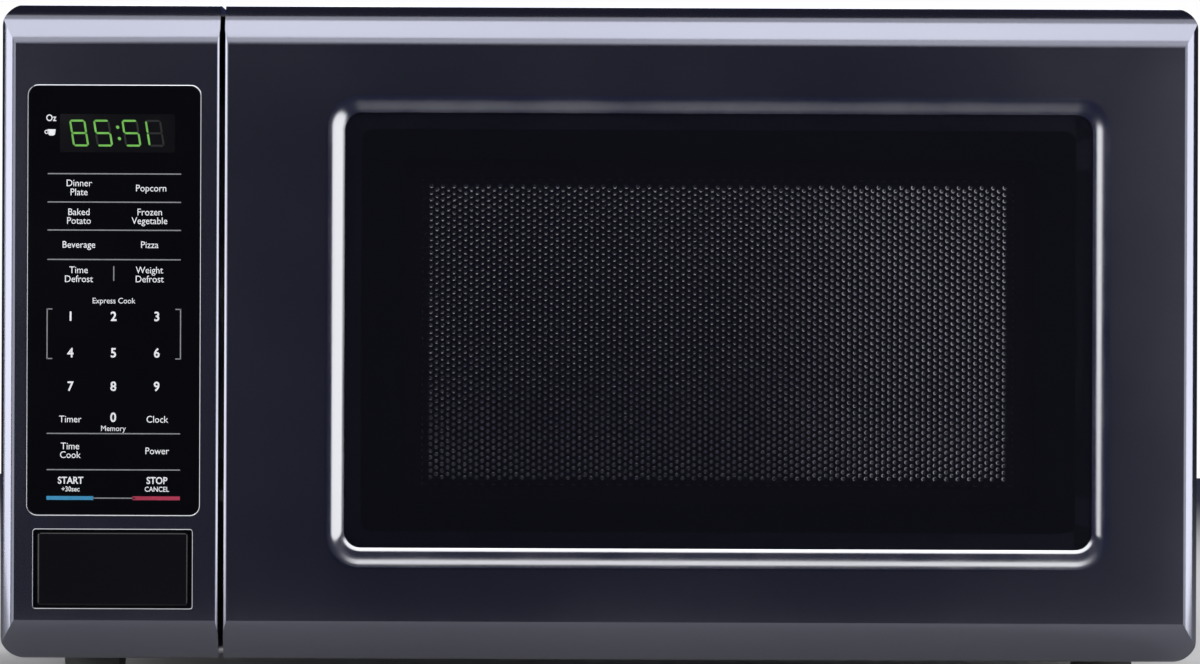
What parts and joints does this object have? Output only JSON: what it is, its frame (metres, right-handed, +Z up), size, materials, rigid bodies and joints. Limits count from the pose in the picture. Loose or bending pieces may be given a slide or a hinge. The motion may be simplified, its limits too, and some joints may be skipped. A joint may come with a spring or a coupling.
{
  "type": "microwave oven",
  "caption": "Countertop microwave oven with a side-hinged window door in a bright trim frame, a keypad panel with a display, and a push button that opens the door.",
  "frame": {"origin": "on the surface the oven stands on, in the middle of its width and depth", "axes": "+X to the user's right when facing the door, +Y from the door to the back, +Z up"},
  "size_m": [0.44, 0.358, 0.257],
  "materials": {
    "door_navy": "deep blue-black gloss coat",
    "housing_navy": "deep blue-black gloss coat",
    "trim_chrome": "bright polished trim",
    "window_glass": "black-tinted safety glass",
    "keypad_black": "gloss membrane overlay",
    "display_lens": "smoked display lens",
    "button_black": "gloss black",
    "casing_paint": "fine textured dark powder coat",
    "galvanised": "galvanised sheet",
    "cavity_enamel": "light grey oven paint",
    "screen_black": "black painted perforated sheet",
    "cover_black": "moulded black plastic",
    "clear_film": "clear protective film",
    "mica": "pressed mica sheet",
    "tray_glass": "clear toughened glass",
    "white_plastic": "moulded white plastic",
    "grey_plastic": "moulded grey plastic",
    "dark_plastic": "moulded dark plastic",
    "steel_part": "plain steel",
    "spring_steel": "spring wire",
    "iron_core": "varnished lamination stack",
    "aluminium_part": "pressed aluminium",
    "board_green": "printed circuit board",
    "bulb_glass": "clear lamp glass",
    "foot_rubber": "moulded rubber",
    "screw_zinc": "zinc plated screws"
  },
  "bodies": {
    "chassis": {"outer_casing": "casing_paint", "base_plate": "galvanised", "rear_panel": "casing_paint", "rear_screws": "screw_zinc", "cord_gland": "dark_plastic", "rear_spacers": "dark_plastic", "feet": "foot_rubber", "cavity_front_plate": "cavity_enamel", "cavity_wrap": "cavity_enamel", "cavity_back": "cavity_enamel", "cavity_floor": "cavity_enamel", "waveguide_cover": "mica", "hinge_upper": "steel_part", "hinge_lower": "steel_part", "control_housing": "housing_navy", "keypad_panel": "keypad_black", "display_window": "display_lens", "led_display": "dark_plastic", "control_board": "board_green", "lever_pin": "steel_part", "interlock_bracket": "galvanised", "door_switch_primary": "dark_plastic", "door_switch_monitor": "dark_plastic", "door_switch_secondary": "dark_plastic", "waveguide": "galvanised", "magnetron": "aluminium_part", "thermal_cutout": "dark_plastic", "hv_transformer": "iron_core", "hv_capacitor": "aluminium_part", "hv_diode": "dark_plastic", "fan_shroud": "grey_plastic", "fan_motor": "iron_core", "line_filter_board": "board_green", "cavity_lamp": "bulb_glass", "lamp_socket": "white_plastic", "turntable_motor": "galvanised", "button_spring": "spring_steel"},
    "door": {"door_frame": "door_navy", "window_trim_ring": "trim_chrome", "door_glass": "window_glass", "door_screen_panel": "screen_black", "door_screen_mesh": "screen_black", "door_film": "clear_film", "choke_cover": "cover_black", "door_bush_upper": "white_plastic", "door_bush_lower": "white_plastic", "latch_spring": "spring_steel"},
    "latch": {"latch_hooks": "white_plastic"},
    "button": {"release_button": "button_black"},
    "lever": {"release_lever": "white_plastic"},
    "coupler": {"turntable_coupler": "white_plastic"},
    "tray": {"glass_tray": "tray_glass"},
    "ring": {"roller_ring": "white_plastic"},
    "wheel_1": {"roller_wheel_1": "white_plastic"},
    "wheel_2": {"roller_wheel_2": "white_plastic"},
    "wheel_3": {"roller_wheel_3": "white_plastic"},
    "fan": {"fan_blade": "white_plastic"}
  },
  "joints": [
    {"name": "door_hinge", "type": "hinge", "parent": "chassis", "child": "door", "pos_m": [0.213, -0.155, 0.13], "axis": [0, 0, 1], "range_deg": [0, 105]},
    {"name": "button_press", "type": "slide", "parent": "chassis", "child": "button", "axis": [0, 1, 0], "range_m": [0, 0.0055], "stiffness_N_per_m": 700, "springref_m": -0.003, "deforming": ["button_spring"]},
    {"name": "release_lever_turn", "type": "hinge", "parent": "chassis", "child": "lever", "pos_m": [-0.17, -0.153, 0.075], "axis": [1, 0, 0], "range_deg": [0, 15.6]},
    {"name": "hook_lift", "type": "slide", "parent": "door", "child": "latch", "axis": [0, 0, 1], "range_m": [0, 0.0042], "deforming": ["latch_spring"]},
    {"name": "turntable_spin", "type": "hinge", "parent": "chassis", "child": "coupler", "pos_m": [0.041, 0.0059, 0.04], "axis": [0, 0, 1], "continuous": true},
    {"name": "tray_lift", "type": "slide", "parent": "coupler", "child": "tray", "axis": [0, 0, 1], "range_m": [0, 0.02]},
    {"name": "roller_ring_spin", "type": "hinge", "parent": "chassis", "child": "ring", "pos_m": [0.041, 0.0059, 0.0422], "axis": [0, 0, 1], "continuous": true},
    {"name": "fan_spin", "type": "hinge", "parent": "chassis", "child": "fan", "pos_m": [-0.17, 0.112, 0.097], "axis": [0, 1, 0], "continuous": true},
    {"name": "roller_wheel_1_spin", "type": "hinge", "parent": "ring", "child": "wheel_1", "pos_m": [0.041, 0.0979, 0.0422], "axis": [0, 1, 0], "continuous": true},
    {"name": "roller_wheel_2_spin", "type": "hinge", "parent": "ring", "child": "wheel_2", "pos_m": [-0.03867, -0.0401, 0.0422], "axis": [-0.866, -0.5, 0], "continuous": true},
    {"name": "roller_wheel_3_spin", "type": "hinge", "parent": "ring", "child": "wheel_3", "pos_m": [0.12067, -0.0401, 0.0422], "axis": [0.866, -0.5, 0], "continuous": true}
  ],
  "couplings": [
    {"joint": "release_lever_turn", "follows": "button_press", "rad_per_m": 49},
    {"joint": "hook_lift", "follows": "button_press", "ratio": 0.75},
    {"joint": "roller_ring_spin", "follows": "turntable_spin", "ratio": 0.5},
    {"joint": "roller_wheel_1_spin", "follows": "turntable_spin", "ratio": -6.1333},
    {"joint": "roller_wheel_2_spin", "follows": "turntable_spin", "ratio": -6.1333},
    {"joint": "roller_wheel_3_spin", "follows": "turntable_spin", "ratio": -6.1333}
  ]
}
